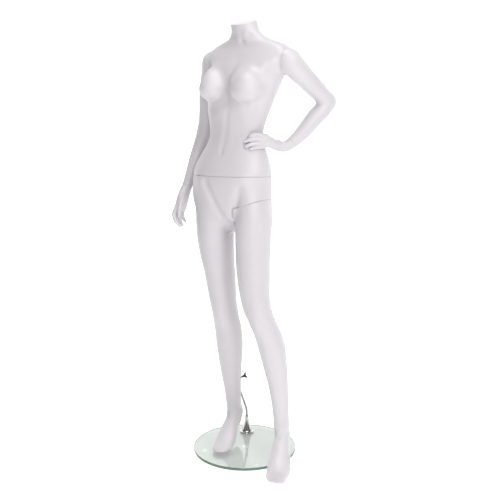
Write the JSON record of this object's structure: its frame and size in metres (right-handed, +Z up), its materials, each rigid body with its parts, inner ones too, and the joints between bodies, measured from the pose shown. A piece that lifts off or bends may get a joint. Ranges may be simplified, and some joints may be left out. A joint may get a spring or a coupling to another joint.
{
  "type": "full body mannequin",
  "caption": "Headless standing figure with lift-off torso, lock-on limbs, a hand on the hip, and a calf rod in a flange on a round glass base.",
  "frame": {"origin": "centre of the round base, at the floor under its pads", "axes": "+Z up; -Y is the way the chest faces; +X is the figure's left side"},
  "size_m": [0.5534, 0.4485, 1.6325],
  "materials": {
    "shell": "satin white painted fibreglass",
    "resin": "cast resin, as moulded",
    "steel": "zinc plated steel",
    "chrome": "polished chrome plate",
    "glass": "clear toughened glass, polished green edge",
    "clear_rubber": "clear soft bumper",
    "rubber": "soft dark rubber",
    "black_steel": "black oxide steel"
  },
  "bodies": {
    "stand": {"base_pads": "clear_rubber", "glass_base": "glass", "glass_sleeve": "rubber", "flange_washer": "steel", "flange_bolt": "steel", "flange_gasket": "rubber", "base_flange": "chrome", "flange_grub": "black_steel", "calf_rod": "chrome"},
    "lower": {"lower_body": "shell", "calf_socket": "steel", "screw_boss": "resin", "waist_plate_lower": "resin", "waist_peg": "steel", "waist_pin": "steel", "lower_plate_screws": "steel", "hip_plate": "resin"},
    "upper": {"upper_body": "shell", "waist_plate_upper": "resin", "waist_socket": "resin", "upper_plate_screws": "steel", "neck_cap": "shell", "left_shoulder_plate": "resin", "right_shoulder_plate": "resin"},
    "left_leg": {"left_leg": "shell", "thigh_plate": "resin", "leg_lock_bar": "steel"},
    "left_arm": {"left_arm": "shell", "left_arm_plate": "resin", "left_arm_lock_bar": "steel", "left_wrist_socket": "steel", "left_wrist_peg": "steel", "left_hand": "shell"},
    "right_arm": {"right_arm": "shell", "right_arm_plate": "resin", "right_arm_lock_bar": "steel", "right_wrist_socket": "steel"},
    "right_hand": {"right_hand": "shell", "right_wrist_peg": "steel"},
    "screw_shank": {"screw_shank": "black_steel"},
    "screw_wing": {"screw_wing": "black_steel"}
  },
  "joints": [
    {"name": "body_lift", "type": "slide", "parent": "stand", "child": "lower", "axis": [-0.0802, -0.384, 0.9199], "range_m": [0, 0.11]},
    {"name": "torso_lift", "type": "slide", "parent": "lower", "child": "upper", "axis": [0, 0, 1], "range_m": [0, 0.09]},
    {"name": "left_leg_turn", "type": "hinge", "parent": "lower", "child": "left_leg", "pos_m": [0.047, -0.009, 0.972], "axis": [-0.309, 0, 0.9511], "range_deg": [0, 15]},
    {"name": "left_arm_turn", "type": "hinge", "parent": "upper", "child": "left_arm", "pos_m": [0.16, 0.026, 1.484], "axis": [-0.9848, 0, 0.1736], "range_deg": [0, 60]},
    {"name": "right_arm_turn", "type": "hinge", "parent": "upper", "child": "right_arm", "pos_m": [-0.137, 0.024, 1.488], "axis": [-0.9848, 0, -0.1736], "range_deg": [0, 60]},
    {"name": "right_hand_turn", "type": "hinge", "parent": "right_arm", "child": "right_hand", "pos_m": [-0.247, -0.014, 1.028], "axis": [-0.1752, -0.3505, -0.92], "range_deg": [-25, 25]},
    {"name": "screw_advance", "type": "slide", "parent": "lower", "child": "screw_shank", "axis": [0.6628, 0.6687, 0.3369], "range_m": [0, 0.0025]},
    {"name": "wing_turn", "type": "hinge", "parent": "screw_shank", "child": "screw_wing", "pos_m": [-0.04734, 0.07429, 0.26678], "axis": [0.6628, 0.6687, 0.3369], "range_deg": [0, 720.5]}
  ],
  "couplings": [
    {"joint": "wing_turn", "follows": "screw_advance", "rad_per_m": 5026.5}
  ]
}
